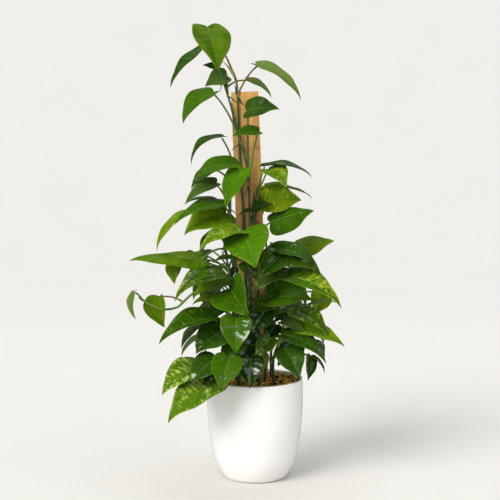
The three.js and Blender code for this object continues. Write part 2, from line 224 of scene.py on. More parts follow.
# Far from the pot the floor fades into an even glow, so that no horizon shows.
paper, shader, place = new_material("pale_paper")
cloudy = uneven(place, 2)
away = add_node(place.tree, "ShaderNodeVectorMath", {0: place}, "Value", operation="LENGTH")
fade = away.band(FADE_FROM, FADE_TO)
lit = cloudy.blend((0.685, 0.66, 0.624), (0.704, 0.679, 0.644))
glow = cloudy.blend((0.862, 0.847, 0.814), (0.886, 0.871, 0.838))
set_inputs(shader, {
    "Base Color": fade.blend(lit, BLACK), "Emission Color": fade.blend(BLACK, glow),
    "Emission Strength": 1, "Roughness": 0.9, "Specular IOR Level": 0,
})

floor = new_piece("floor", turned_mesh("floor", [(0, 0), (FLOOR_RADIUS, 0)], STAGE_SIDES), paper)
backdrop_profile = [
    (FLOOR_RADIUS + COVE_RADIUS * sin(a), COVE_RADIUS * (1 - cos(a)))
    for a in [pi / 2 * share for share in shares(12)]
]
backdrop_profile.append((FLOOR_RADIUS + COVE_RADIUS, BACKDROP_HEIGHT))
backdrop = new_piece("backdrop", turned_mesh("backdrop", backdrop_profile, STAGE_SIDES), paper)
backdrop.visible_diffuse = False
backdrop.visible_shadow = False
for stage_piece in (floor, backdrop):
    stage_piece.visible_glossy = False

# The pot: one round piece of white ceramic, slip cast and glazed inside and out. Its wall is 5 mm
# thick, curves in to a flat foot and ends in a plain rounded rim.

POT_HEIGHT = 0.236
POT_WALL = 0.005
POT_FLOOR = 0.008
POT_SIDES = 128
RIM_RISE = 0.0008
POT_FOOT = [(0, 0), (0.03, 0), (0.068, 0)]
POT_OUTSIDE = [
    (0.07, 0), (0.08, 0.006), (0.096, 0.038), (0.104, 0.07), (0.1105, 0.111),
    (0.1145, 0.165), (0.115, 0.2), (0.114, 0.236),
]


def smooth_line(points, steps):
    """An even Catmull-Rom curve through the points."""
    ends = [points[0], *points, points[-1]]
    line = []
    for i in range(len(points) - 1):
        p0, p1, p2, p3 = (Vector(p) for p in ends[i:i + 4])
        for step in range(steps):
            t = step / steps
            line.append(0.5 * (
                2 * p1 + (p2 - p0) * t + (2 * p0 - 5 * p1 + 4 * p2 - p3) * t * t
                + (3 * p1 - p0 - 3 * p2 + p3) * t ** 3
            ))
    return [*line, Vector(points[-1])]


def bump(height, strength, distance):
    inputs = {"Height": height, "Strength": strength, "Distance": distance}
    return add_node(height.tree, "ShaderNodeBump", inputs)


outer_wall = [tuple(p) for p in smooth_line(POT_OUTSIDE, 6)]
rim_middle = outer_wall[-1][0] - POT_WALL / 2
rim = [
    (rim_middle + POT_WALL / 2 * cos(a), POT_HEIGHT + RIM_RISE * sin(a))
    for a in [pi * share for share in shares(8)]
]
inner_wall = [(r - POT_WALL, z) for r, z in reversed(outer_wall[:-1]) if z > POT_FLOOR]
pot_profile = [*POT_FOOT, *outer_wall[:-1], *rim, *inner_wall, (0, POT_FLOOR)]

glaze, shader, place = new_material("white_glaze")
flow = uneven(place, 9, 4)
set_inputs(shader, {
    "Base Color": flow.band(0.3, 0.7).blend((0.9, 0.895, 0.885), (0.93, 0.926, 0.918)),
    "Roughness": flow.band(0.2, 0.8, 0.29, 0.34), "Coat Weight": 0.25, "Coat Roughness": 0.12,
    "Normal": bump(uneven(place, 420, 2), 0.04, 0.0002),
})

pot = new_piece("glazed_pot", turned_mesh("glazed_pot", pot_profile, POT_SIDES), glaze)
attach(pot, "root")
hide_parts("pot")

# The filling: a damp peat mix, pressed in round the stems and the foot of the board. The dressing
# hides it, so the solid from the frame stays and only gets its finish.

mix, shader, place = new_material("damp_mix")
crumbs = uneven(place, 160, 5)
set_inputs(shader, {
    "Base Color": crumbs.band(0.4, 0.65).blend((0.018, 0.011, 0.007), (0.075, 0.045, 0.024)),
    "Roughness": crumbs.band(0.3, 0.7, 0.75, 0.98), "Normal": bump(crumbs, 0.9, 0.004),
})
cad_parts["soil"].material_slots[0].material = mix

# The dressing: shredded bark and dry moss, spread by hand over the filling. It is a dark crumbly bed
# with chips that lie at all angles and fibres that curl between them.

BED_LOW = 0.2123
BED_TOP = 0.229
BED_RADIUS = 0.1088
BED_SIDES = 96
BED_RINGS = 28
BED_WAVES = 0.003
BED_CRUMBS = 0.002
CHIP_SIZE = (0.0125, 0.0055, 0.0028)
CHIP_COUNT = 1200
FIBRE_COUNT = 900
FIBRE_STEP = 0.003
FIBRE_RADIUS = 0.0007
CHIP_REACH = 0.098
CURL = 0.01
LEVEL_ENOUGH = 0.4
DRESSING_SEED = 5


def bed_mesh():
    """A round bed with waves and crumbs over its top."""
    top = [(BED_RADIUS * (1 - share), BED_TOP) for share in shares(BED_RINGS)]
    mesh = turned_mesh("bed", [(0, BED_LOW), (BED_RADIUS, BED_LOW), *top], BED_SIDES)
    for v in mesh.vertices:
        if v.co.z > (BED_LOW + BED_TOP) / 2:
            x, y = v.co.xy
            wave = sin(x / 0.007) * cos(y / 0.009 + x / 0.023)
            v.co.z = BED_TOP + BED_WAVES * wave + BED_CRUMBS * noise.noise(Vector((x, y, 0)) * 160)
    return mesh


def grown_mesh(name, start_mesh, tree, values):
    """The plain mesh that a geometry tree makes of a start mesh."""
    holder = new_object(name, start_mesh)
    modifier = holder.modifiers.new("grow", "NODES")
    modifier.node_group = tree
    for item in tree.interface.items_tree:
        if item.in_out == "INPUT" and item.name in values:
            modifier[item.identifier] = values[item.name]
    bpy.context.view_layer.update()
    graph = bpy.context.evaluated_depsgraph_get()
    mesh = bpy.data.meshes.new_from_object(holder.evaluated_get(graph))
    holder.modifiers.clear()
    bpy.data.objects.remove(holder)
    return mesh


def joined_vector(x, y, z):
    return add_node(x.tree, "ShaderNodeCombineXYZ", {0: x, 1: y, 2: z})


def scaled(vector, factor):
    inputs = {0: vector, "Scale": factor}
    return add_node(vector.tree, "ShaderNodeVectorMath", inputs, operation="SCALE")


def joined(*parts):
    """One geometry of several."""
    made = add_node(parts[0].tree, "GeometryNodeJoinGeometry", {})
    for part in parts:
        set_inputs(made.socket.node, {0: part})
    return made


def realized(geometry):
    return add_node(geometry.tree, "GeometryNodeRealizeInstances", {"Geometry": geometry})


def finish_branch(geometry, material):
    inputs = {"Geometry": realized(geometry), "Material": material}
    return add_node(geometry.tree, "GeometryNodeSetMaterial", inputs)


bed_tree, add, given, end = new_group("GeometryNodeTree", "spread_dressing", {
    "Geometry": "Geometry", "Chips": "Float", "Fibres": "Float", "Reach": "Float", "Seed": "Int",
    "Finish": "Material",
}, {"Geometry": "Geometry"})
place = add("GeometryNodeInputPosition", {})
x, y, _ = place.parts()
level = joined_vector(x, y, 0)
across = add("ShaderNodeVectorMath", {0: level}, "Value", operation="LENGTH")
faces_up = add("GeometryNodeInputNormal", {}).parts()[2]
free = faces_up.op("GREATER_THAN", LEVEL_ENOUGH) * across.op("LESS_THAN", given["Reach"])

chip = add("GeometryNodeMeshCube", {"Size": CHIP_SIZE, "Vertices X": 4, "Vertices Y": 3, "Vertices Z": 2})
fibre_line = add("GeometryNodeMeshLine", {
    "Count": 7, "Start Location": (-3 * FIBRE_STEP, 0, 0), "Offset": (FIBRE_STEP, 0, 0)})
fibre = add("GeometryNodeCurveToMesh", {
    "Curve": add("GeometryNodeMeshToCurve", {"Mesh": fibre_line}), "Fill Caps": True,
    "Profile Curve": add("GeometryNodeCurvePrimitiveCircle", {"Resolution": 4, "Radius": FIBRE_RADIUS})})

# Each sort is strewn with its density, its tilt, its least and greatest scale and its first seed.
strewn = []
for shape, density, tilt, least, most, seed in (
    (chip, given["Chips"], 0.6, 0.6, 1.4, 1), (fibre, given["Fibres"], 0.4, 0.6, 1.5, 40),
):
    inputs = {"Mesh": given["Geometry"], "Selection": free, "Density": density, "Seed": given["Seed"]}
    ranges = [(-tilt, tilt)] * 2 + [(0, 2 * pi)] + [(least, most)] * 3 + [(0, 1)]
    draws = [
        add("FunctionNodeRandomValue", {2: low, 3: high, "Seed": seed + i}, 1, data_type="FLOAT")
        for i, (low, high) in enumerate(ranges)
    ]
    laid = add("GeometryNodeInstanceOnPoints", {
        "Points": add("GeometryNodeDistributePointsOnFaces", inputs), "Instance": shape,
        "Rotation": add("FunctionNodeEulerToRotation", {0: joined_vector(*draws[:3])}),
        "Scale": joined_vector(*draws[3:6])})
    inputs = {"Geometry": laid, "Name": "tone", "Value": draws[6]}
    strewn.append(add(
        "GeometryNodeStoreNamedAttribute", inputs, data_type="FLOAT", domain="INSTANCE"))
rough = add("ShaderNodeTexNoise", {"Vector": place, "Scale": 170, "Detail": 1}, "Color")
shift = add("ShaderNodeVectorMath", {0: rough, 1: (0.5, 0.5, 0.5)}, operation="SUBTRACT")
heap = add("GeometryNodeSetPosition", {
    "Geometry": realized(joined(*strewn)), "Offset": scaled(shift, CURL)})
whole = joined(heap, given["Geometry"])
set_inputs(end, {"Geometry": finish_branch(whole, given["Finish"])})


def attribute(shader, name):
    """A value that the mesh carries."""
    return add_node(shader.id_data, "ShaderNodeAttribute", {}, "Fac", attribute_name=name)


def colour_steps(value, steps):
    """A colour ramp through (place, colour) steps."""
    made = add_node(value.tree, "ShaderNodeValToRGB", {"Fac": value})
    elements = made.socket.node.color_ramp.elements
    while len(elements) < len(steps):
        elements.new(0.5)
    for element, (spot, colour) in zip(elements, steps):
        element.position = spot
        element.color = (*colour, 1)
    return made


litter, shader, place = new_material("bark_and_moss")
grit = uneven(place, 240, 4)
patches = uneven(place, 34, 2)
mixed = attribute(shader, "tone") * 0.75 + (grit - 0.5) * 0.5 + (patches - 0.5) * 0.6
set_inputs(shader, {
    "Base Color": colour_steps(mixed, [
        (0, (0.02, 0.008, 0.003)), (0.18, (0.08, 0.028, 0.008)), (0.31, (0.42, 0.18, 0.02)),
        (0.46, (0.84, 0.44, 0.05)), (0.72, (0.86, 0.62, 0.13)),
    ]),
    "Roughness": grit.band(0.3, 0.7, 0.7, 0.95), "Normal": bump(grit, 0.8, 0.002),
})

bed_area = pi * BED_RADIUS ** 2
dressing_mesh = grown_mesh("dressing", bed_mesh(), bed_tree, {
    "Chips": CHIP_COUNT / bed_area, "Fibres": FIBRE_COUNT / bed_area, "Reach": CHIP_REACH,
    "Seed": DRESSING_SEED, "Finish": litter,
})
dressing = new_piece("loose_bark_dressing", dressing_mesh)
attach(dressing, "root")
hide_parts("bark_dressing")

# The board: one rough-sawn length of cedar, 64 x 20 mm, that stands on the pot's floor and leans
# slightly to the left. The saw has left marks across it, and slivers stand off its long edges.

BOARD_WIDTH = 0.064
BOARD_THICKNESS = 0.02
BOARD_TOP = 0.914
BOARD_FOOT_X = 0.009
BOARD_GAP = 0.0003
BOARD_LEAN = radians(2.1)
BOARD_CHAMFER = 0.0012
BOARD_LEVELS = 240
CORNER_REACH = 0.0022
CORNER_WEAR = 0.0016
SWELL = 0.00025
SAW_PITCH = 0.0052
SAW_DEPTH = 0.00022
END_ROUGHNESS = 0.0004
SPLINTERS = 30
SPLINTER_ROOT = 0.0004
BOARD_SEED = 8

board_low = POT_FLOOR + BOARD_GAP + sin(BOARD_LEAN) * BOARD_WIDTH / 2
board_frame = Matrix.Translation((BOARD_FOOT_X, 0, board_low)) @ Matrix.Rotation(-BOARD_LEAN, 4, "Y")


def board_section():
    """The outline, with the way out at each point, anticlockwise from the front left corner."""
    broad = (BOARD_WIDTH / 2, BOARD_THICKNESS / 2, 18)
    narrow = (BOARD_THICKNESS / 2, BOARD_WIDTH / 2, 7)
    outline = []
    for side, (half, depth, steps) in enumerate((broad, narrow) * 2):
        turn = Matrix.Rotation(side * pi / 2, 2)
        for i in range(steps + 1):
            along = -half + BOARD_CHAMFER + 2 * (half - BOARD_CHAMFER) * i / steps
            outline.append((turn @ Vector((along, -depth)), turn @ Vector((0, -1))))
    return outline


def board_spot(x, y, out, level):
    """A point of the outline at a level, with the swell, the saw's marks and the worn corners."""
    swell = noise.noise(Vector((x * 40, y * 40, level * 9))) * SWELL
    saw = abs((level / SAW_PITCH + noise.noise(Vector((x * 30, y * 30, level * 30)))) % 1 - 0.5)
    corner = min(abs(abs(x) - BOARD_WIDTH / 2), abs(abs(y) - BOARD_THICKNESS / 2) + abs(out.x))
    worn = 0
    if corner < CORNER_REACH:
        worn = max(0, noise.noise(Vector((x * 50, 3, level * 70))) - 0.15) * CORNER_WEAR
    spot = Vector((x, y)) - out * (SAW_DEPTH * saw + worn) + out * swell
    return board_frame @ Vector((spot.x, spot.y, level))


def add_splinter(shape, draw):
    """A thin sliver that stands off one long edge of the board."""
    side = draw.choice((-1, 1, 1))
    level = draw.uniform(0.5, 0.88)
    length = draw.uniform(0.006, 0.018)
    foot = Vector((side * (BOARD_WIDTH / 2 - 0.0005), draw.uniform(-0.009, 0.005), level))
    tip = foot + Vector((side * draw.uniform(0.001, 0.008), 0, draw.choice((-1, 1)) * length))
    ring = [
        shape.verts.new(board_frame @ (foot + SPLINTER_ROOT * Vector(corner)))
        for corner in ((0, -1, 0), (0, 1, 0), (-1.5 * side, 0, 0))
    ]
    point = shape.verts.new(board_frame @ tip)
    shape.faces.new(ring)
    skin(shape, (ring + ring[:1], [point] * 4))


def board_mesh():
    shape = bmesh.new()
    outline = board_section()
    height = BOARD_TOP - POT_FLOOR
    rings = []
    for i in range(BOARD_LEVELS + 1):
        level = height * i / BOARD_LEVELS
        ring = [shape.verts.new(board_spot(x, y, out, level)) for (x, y), out in outline]
        rings.append(ring + ring[:1])
    skin(shape, rings)
    for ring, level in ((rings[0], 0), (rings[-1], height)):
        inner = []
        for v in ring[:-1]:
            local = board_frame.inverted() @ v.co
            rough = noise.noise(local * 300) * END_ROUGHNESS
            spot = Vector((local.x * 0.93, local.y * 0.8, level + rough))
            inner.append(shape.verts.new(board_frame @ spot))
        skin(shape, (ring, inner + inner[:1]))
        shape.faces.new(inner)
    draw = random.Random(BOARD_SEED)
    for _ in range(SPLINTERS):
        add_splinter(shape, draw)
    bmesh.ops.recalc_face_normals(shape, faces=shape.faces)
    return plain_mesh("board", shape)


# The grain that wood and stems share: the unevenness, drawn out along one direction.
grain, add, given, end = new_group("ShaderNodeTree", "grain", {
    "Vector": "Vector", "Rotation": "Vector", "Scale": "Vector", "Detail": "Float"}, {"Amount": "Float"})
detail = given.pop("Detail")
set_inputs(end, {"Amount": uneven(add("ShaderNodeMapping", given), 1, detail)})


def grained(place, fineness, detail, turn=(0, 0, 0)):
    inputs = {"Vector": place, "Rotation": turn, "Scale": fineness, "Detail": detail}
    return add_node(place.tree, "ShaderNodeGroup", inputs, node_tree=grain)


cedar, shader, place = new_material("rough_cedar")
upright = (0, BOARD_LEAN, 0)
figure = grained(place, (26, 26, 1.1), 4, upright)
streaks = grained(place, (160, 160, 3), 3, upright)
pores = grained(place, (900, 900, 45), 2, upright)
saw_lines = grained(place, (9, 9, 330), 3, upright)
wood = (figure * 0.6 + streaks * 0.4).band(0.32, 0.68)
wood = wood.blend((0.56, 0.265, 0.062), (0.8, 0.465, 0.135))
wood = (saw_lines.band(0.56, 0.66) * 0.55).blend(wood, (0.36, 0.14, 0.03))
wood = (pores.band(0.6, 0.75) * 0.35).blend(wood, (0.2, 0.07, 0.015))
set_inputs(shader, {
    "Base Color": wood, "Roughness": streaks.band(0.3, 0.7, 0.62, 0.85),
    "Normal": bump(saw_lines * 0.7 + pores * 0.3 + streaks * 0.3, 0.7, 0.0012),
})

board = new_piece("rough_sawn_board", board_mesh(), cedar)
board.data.set_sharp_from_angle(angle=radians(40))
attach(board, "root")
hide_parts("cedar_board")

# The plant: fifteen rooted stems that climb the board or lean out of the pot. Each carries its leaves
# on long stalks: waxy heart-shaped blades, arched and folded along the midrib, flecked with yellow.

MM = 0.001
ROOT_DEPTH = 165
ROOT_COLLAR = 6

# Each look: shade from dark to bright, and how much olive, yellow fleck, cream stripe and painted grey
# sheen.
LOOKS = {
    "plain": (0.36, 0.08, 0.12, 0, 0),
    "dark": (0.16, 0.02, 0.06, 0, 0.05),
    # deep: partly the leaves' own dark green and partly painted shade for leaves inside the plant.
    "deep": (0.02, 0, 0.04, 0, 0),
    "bright": (0.64, 0.08, 0.2, 0, 0),
    "sunlit": (0.38, 0.42, 0.12, 0, 0),
    "olive": (0.66, 0.65, 0.25, 0, 0),
    "lime": (0.8, 0.9, 0.6, 0, 0),
    "flecked": (0.55, 0.2, 0.7, 0, 0),
    "gilded": (0.4, 0.25, 0.66, 0, 0),
    "edged": (0.2, 0.12, 0.5, 0, 0),
    "tipped": (0.22, 0.05, 0.26, 0, 0),
    "striped": (0.6, 0.35, 0.6, 0.55, 0),
    "cream": (0.5, 0.2, 0.5, 0.8, 0),
    "dusk": (0.18, 0.12, 0.05, 0, 0.4),
    "sage": (0.4, 0.45, 0.05, 0, 0.8),
}

# Each leaf, in mm: the height at which its stalk leaves the stem (or the share of a trailing stem, up to
# 1), the blade's base and tip, the way its upper face looks (degrees round from the front, degrees up),
# its look, its breadth as a share of its length, its arch and its fold in degrees.
Leaf = namedtuple("Leaf", "at base tip face look broad arch fold", defaults=(0.08, 14))

# The stems that show from the front, each with its route up from the soil and its leaves.
vines = {}
vines["tall_centre"] = [
    (-19, -15, 330), (-26, -15, 596), (-32, -15, 709), (-36, -15, 770), (-37, -15, 805), (-38, -15, 845),
    (-40, -15, 885), (-42, -15, 918), (-43, -13, 940),
], [
    (935, (-111, -12, 1064), (-84, -68, 959), (23, 12), "sunlit", 0.76, 0.06, 8),
    (905, (4, 10, 980), (110, -20, 898), (30, 55), "sage", 0.38, 0.1),
]
vines["tall_left"] = [
    (-7, -22, 330), (-12, -22, 596), (-15, -22, 700), (-21, -23, 750), (-34, -23, 800), (-46, -20, 840),
    (-57, -15, 884), (-66, -10, 913), (-75, -4, 944),
], [
    (940, (-119, 0, 1017), (-199, -40, 925), (-50, 40), "dark", 0.44, 0.06),
    (930, (-89, 16, 976), (-123, 0, 978), (-10, 10), "dark", 0.45, 0.03),
    (905, (-66, 2, 952), (-117, -14, 928), (5, 30), "dusk", 0.85, 0.06, 20),
    (795, (-95, -45, 911), (-167, -80, 840), (-42, 45), "plain", 0.8, 0.1),
    (922, (-21, 32, 946), (41, 28, 904), (35, 50), "sage", 0.44, 0.12),
    (720, (-19, -50, 868), (55, -74, 872), (5, 32), "dark", 0.76, 0.1),
    (700, (9, -42, 821), (-53, -72, 811), (0, 50), "plain", 0.6, 0.04),
]
vines["mid_right"] = [(9, -15, 330), (6, -15, 480), (2, -15, 568), (-1, -15, 626), (4, -15, 668)], [
    (662, (19, -27, 741), (133, -55, 719), (50, 66), "dark", 0.44, 0.1),
    (650, (30, -42, 734), (72, -92, 693), (20, 32), "striped", 0.82, 0.12),
    (640, (31, -16, 694), (138, 18, 669), (60, 80), "dusk", 0.5, 0.06),
    (630, (19, -27, 662), (110, -12, 663), (10, 25), "lime", 0.82, 0.06),
    (615, (-5, -40, 642), (42, -54, 653), (0, 35), "dark", 0.62),
    (600, (-2, -46, 638), (-39, -70, 628), (0, 66), "dark", 0.5, 0.06),
    (570, (37, -50, 612), (136, -60, 641), (8, 35), "plain", 0.66, 0.04, -26),
]
vines["mid_left"] = [
    (-37, -34, 330), (-45, -36, 440), (-54, -36, 546), (-57, -34, 602), (-58, -30, 651), (-54, -26, 697),
    (-47, -22, 737),
], [
    (735, (-76, -20, 809), (-151, -40, 747), (-60, 50), "dark", 0.6, 0.18),
    (715, (-41, -62, 744), (-144, -95, 709), (-20, 42), "plain", 0.48, 0.16),
    (700, (-91, -34, 734), (-149, -58, 690), (-35, 45), "dark", 0.6, 0.1),
    (705, (-28, -86, 734), (-68, -112, 646), (-25, 20), "bright", 0.58, 0.08, 18),
    (640, (-89, -45, 702), (-162, -70, 656), (-12, 35), "dusk", 0.44, 0.12, 25),
    (630, (-78, -18, 653), (-166, -36, 654), (-55, 75), "deep", 0.55, 0.12),
    (620, (-68, -55, 652), (-185, -100, 612), (-35, 52), "plain", 0.46, 0.1),
    (575, (-68, -28, 632), (-165, -60, 585), (-15, 32), "olive", 0.75, 0.14),
    (468, (-46, -51, 505), (-55, -63, 475), (0, 15), "deep", 0.6, 0.06),
]
vines["left_mid"] = [
    (-46, -5, 330), (-56, -5, 420), (-64, -5, 500), (-70, -5, 546), (-74, -5, 586),
], [
    (580, (-141, -8, 634), (-232, -55, 547), (-60, 48), "olive", 0.48, 0.12),
    (560, (-98, -25, 587), (-128, -45, 528), (-55, 20), "dark", 0.55),
    (545, (-118, -68, 525), (-288, -104, 532), (-8, 58), "sunlit", 0.36, 0.02, -6),
    (500, (-185, -45, 521), (-188, -60, 468), (-25, 15), "olive", 0.78),
    (490, (-143, -25, 540), (-152, -42, 499), (-15, 25), "flecked", 0.9),
    (470, (-109, 10, 513), (-161, 25, 462), (-100, 40), "dark", 0.6, 0.1),
]
vines["centre"] = [(-12, -40, 333), (-14, -44, 429), (-17, -46, 500), (-19, -44, 558)], [
    (556, (-25, -95, 593), (0, -185, 519), (-20, 45), "bright", 0.9, 0.05, 6),
    (545, (-32, -100, 594), (-127, -150, 555), (-20, 55), "striped", 0.52, 0.12),
    (510, (-40, -72, 526), (-99, -92, 521), (-30, 70), "dark", 0.6, 0.1),
    (440, (-71, -90, 492), (-183, -140, 442), (-35, 50), "edged", 0.6, 0.16),
    (425, (-55, -96, 461), (-16, -166, 408), (-50, 35), "plain", 1, 0.06, 32),
    (370, (26, -66, 410), (-8, -98, 358), (0, 22), "deep", 0.8),
    (400, (37, -60, 426), (-14, -85, 404), (0, 35), "dark", 0.7),
    (340, (30, -45, 392), (-10, -63, 362), (0, 25), "deep", 0.9),
    (470, (-23, -80, 521), (2, -100, 484), (0, 35), "dark", 0.9, 0.06),
]
vines["right_mid"] = [(25, -15, 330), (28, -15, 449), (29, -15, 515), (29, -15, 553)], [
    (550, (26, -50, 547), (150, -110, 501), (20, 50), "dark", 0.74, 0.14, -6),
    (540, (101, 20, 551), (189, 5, 566), (0, 35), "olive", 0.62, 0.03, -22),
    (500, (64, -95, 539), (4, -137, 488), (10, 45), "dark", 0.66),
    (470, (60, -70, 506), (-3, -112, 456), (0, 50), "dusk", 0.6, 0.1),
    (455, (66, -85, 489), (195, -145, 428), (25, 50), "gilded", 0.5, 0.13),
    (410, (161, 14, 441), (143, -4, 389), (15, 15), "lime", 0.95, 0.05),
    (370, (117, -10, 406), (196, -40, 423), (30, 75), "sage", 0.42),
    (420, (39, -65, 436), (130, -106, 438), (8, 38), "plain", 0.84, 0.08, 25),
    (365, (68, -30, 418), (26, -62, 389), (0, 45), "edged", 0.75),
    (375, (91, -60, 405), (169, -100, 357), (20, 45), "edged", 0.6, 0.12),
    (440, (65, -50, 465), (16, -75, 435), (0, 40), "dark", 0.7),
    (530, (39, -70, 550), (128, -120, 525), (10, 55), "dark", 0.5, 0.1),
    (345, (84, 0, 404), (46, -22, 374), (0, 35), "deep", 0.8),
]
vines["runner"] = [
    (-35, -60, 313), (-54, -62, 384), (-86, -60, 431), (-116, -58, 450), (-142, -58, 447), (-167, -58, 426),
    (-181, -58, 414), (-214, -60, 409), (-246, -62, 421), (-270, -64, 438),
], [
    (0.97, (-278, -65, 450), (-276, -80, 387), (-60, 5), "sage", 0.62, 0.1, 20),
    (0.64, (-223, -45, 438), (-213, -45, 363), (-30, 0), "olive", 0.82, 0.05, 38),
    (440, (-63, -38, 474), (-143, -74, 441), (-25, 50), "olive", 0.75, 0.1),
    (384, (-85, -82, 436), (-144, -110, 428), (-20, 68), "lime", 0.6),
]
vines["low_left"] = [(-40, -66, 290), (-55, -70, 340)], [
    (338, (-94, -95, 394), (-218, -155, 347), (-35, 48), "tipped", 0.52, 0.1, 22),
    (325, (-43, -145, 401), (-44, -180, 327), (0, 30), "plain", 0.86, 0.05, 22),
    (310, (-62, -95, 368), (-136, -127, 318), (-22, 38), "dark", 1, 0.1),
    (330, (-112, -55, 360), (-139, -72, 320), (-40, 30), "dark", 0.65, 0.06),
    (335, (-72, -30, 420), (-113, -46, 375), (-20, 30), "dark", 0.7),
    (320, (-50, -84, 388), (-95, -108, 350), (-15, 35), "dark", 0.7),
]
vines["bottom_left"] = [(-70, -62, 262), (-90, -80, 285)], [
    (280, (-89, -125, 306), (-146, -165, 255), (-20, 45), "dark", 0.85, 0.08, 8),
    (283, (-129, -95, 282), (-213, -135, 225), (-35, 38), "cream", 0.78, 0.1),
    (275, (-84, -128, 254), (-198, -172, 171), (-35, 42), "cream", 0.7),
    (262, (-57, -145, 312), (-78, -180, 243), (-5, 30), "plain", 0.88),
    (270, (-71, -100, 283), (-143, -135, 230), (-25, 40), "edged", 0.6),
    (272, (-34, -109, 338), (-82, -131, 302), (-20, 35), "dark", 0.8),
]
vines["low_centre"] = [(10, -72, 270), (18, -74, 330)], [
    (280, (-9, -110, 306), (-12, -142, 240), (0, 25), "deep", 0.85),
    (325, (37, -84, 346), (0, -112, 302), (10, 48), "edged", 0.7),
    (290, (24, -96, 309), (20, -107, 276), (10, 20), "sage", 0.55, 0.05),
    (300, (14, -62, 344), (-26, -90, 300), (0, 25), "deep", 0.85),
    (285, (-16, -84, 330), (-40, -106, 274), (-5, 20), "deep", 0.66),
    (310, (50, -40, 371), (22, -56, 334), (10, 30), "deep", 0.8),
]
vines["low_right"] = [(44, -40, 290), (62, -44, 345), (72, -42, 380)], [
    (378, (96, -60, 368), (206, -105, 332), (20, 45), "olive", 0.44),
    (360, (62, -56, 380), (118, -90, 352), (10, 62), "dusk", 0.6, 0.1),
    (340, (60, -76, 352), (163, -125, 297), (25, 52), "dark", 0.5, 0.14),
    (330, (132, 6, 317), (166, -20, 287), (30, 40), "dark", 0.95),
    (290, (69, -88, 321), (101, -125, 258), (10, 32), "dark", 0.85),
    (300, (132, -34, 295), (124, -52, 239), (30, 10), "dark", 0.55, 0.05),
    (310, (128, -22, 293), (164, -60, 260), (60, 45), "dark", 0.38, 0.12),
    (320, (100, 26, 318), (54, 4, 264), (10, 20), "deep", 0.8),
]

# The stems behind the board: foot, height, heading and spread in degrees round from the front, leaf
# count and seed. Each of their leaves draws, in this order, its turn as a share of the spread, its
# reach, its length, its dip, its rise, its sweep to one side, its breadth and its arch.
BACK_VINES = {
    "back_left": ((-46, 22), 490, -137, 20, 9, 11),
    "back_centre": ((-8, 22), 620, 180, 15, 10, 23),
    "back_right": ((42, 20), 500, 142, 20, 9, 37),
}
BACK_DRAWS = [(0.4, 1), (62, 92), (88, 124), (28, 58), (38, 62), (2, 16), (0.56, 0.72), (0.07, 0.15)]
BACK_LOOKS = "plain dark flecked dark olive plain gilded dark bright".split()
BACK_LIFT = 45
REACH_SHRINK = 22
LENGTH_SHRINK = 16
LOWEST_LEAF = 34
HIGHEST_LEAF = 10


def even_draws(seed):
    """Shares from 0 to 1 by a small linear congruential generator."""
    while True:
        seed = (seed * 1664525 + 1013904223) % 2 ** 32
        yield seed / 2 ** 32


def heading(degrees):
    angle = radians(degrees)
    return Vector((sin(angle), -cos(angle), 0))


def back_vine(foot, top, main, spread, count, seed):
    draws = even_draws(seed)
    pot_top = POT_HEIGHT / MM

    def on_stem(z):
        return Vector((foot[0] - (z - pot_top) * tan(BOARD_LEAN), foot[1], z))

    route = [on_stem(pot_top + (top - pot_top) * share) for share in (0.35, 0.6, 0.8, 1)]
    rows = []
    for i, share in enumerate(shares(count - 1)):
        at = pot_top + LOWEST_LEAF + (top - HIGHEST_LEAF - pot_top - LOWEST_LEAF) * share
        side = (-1) ** i
        turn, reach, length, dip, rise, sweep, broad, arch = (
            low + (high - low) * next(draws) for low, high in BACK_DRAWS)
        turn = main + side * turn * spread
        length -= LENGTH_SHRINK * share
        dip = radians(dip)
        base = on_stem(at) + heading(turn) * (reach - REACH_SHRINK * share)
        base.z += rise
        tip = base + heading(turn + side * sweep) * length * cos(dip)
        tip.z -= length * sin(dip)
        look = BACK_LOOKS[(i + seed) % len(BACK_LOOKS)]
        rows.append((at, base, tip, (turn, BACK_LIFT), look, broad, arch))
    return route, rows


for name, plan in BACK_VINES.items():
    vines[name] = back_vine(*plan)


def climb(route):
    """A smooth path through the stem's route, by a share from 0 at the root to 1 at the top."""
    x, y = route[0][:2]
    spots = [Vector(p) for p in ((x, y, ROOT_DEPTH), (x, y, POT_HEIGHT / MM + ROOT_COLLAR), *route)]
    spots = [2 * spots[0] - spots[1], *spots, 2 * spots[-1] - spots[-2]]

    def at(share):
        where = share * (len(spots) - 3)
        i = min(int(where), len(spots) - 4)
        p0, p1, p2, p3 = spots[i:i + 4]
        d0, d1, d2 = (sqrt((b - a).length) for a, b in ((p0, p1), (p1, p2), (p2, p3)))
        start = ((p1 - p0) / d0 - (p2 - p0) / (d0 + d1) + (p2 - p1) / d1) * d1
        end = ((p2 - p1) / d1 - (p3 - p1) / (d1 + d2) + (p3 - p2) / d2) * d1
        t = where - i
        return (
            p1 + start * t + (3 * (p2 - p1) - 2 * start - end) * t * t
            + (2 * (p1 - p2) + start + end) * t ** 3
        )

    return at


def joint_share(path, at):
    """The share of the path at a height in mm, or the share itself."""
    if at <= 1:
        return at
    low, high = 0, 1
    for _ in range(24):
        middle = (low + high) / 2
        low, high = (middle, high) if path(middle).z < at else (low, middle)
    return low


# The blade's outline, by a share from 0 at the stalk to 1 at the tip: how far along the leaf, and how
# far out for a blade as broad as it is long. A heart with a drawn-out tip.
def edge_along(share):
    return share ** 1.6 - 0.45 * sin(pi * share) * (1 - share) ** 3


def edge_out(share):
    drip = 1 - 0.12 * sin(pi * min(1, max(0, (share - 0.72) / 0.28))) ** 2
    return 0.5 * share * (1 - share) ** 1.1 / 0.2338 * drip


def rib_along(share):
    return max(0, (share - 0.25) / 0.75) ** 1.5


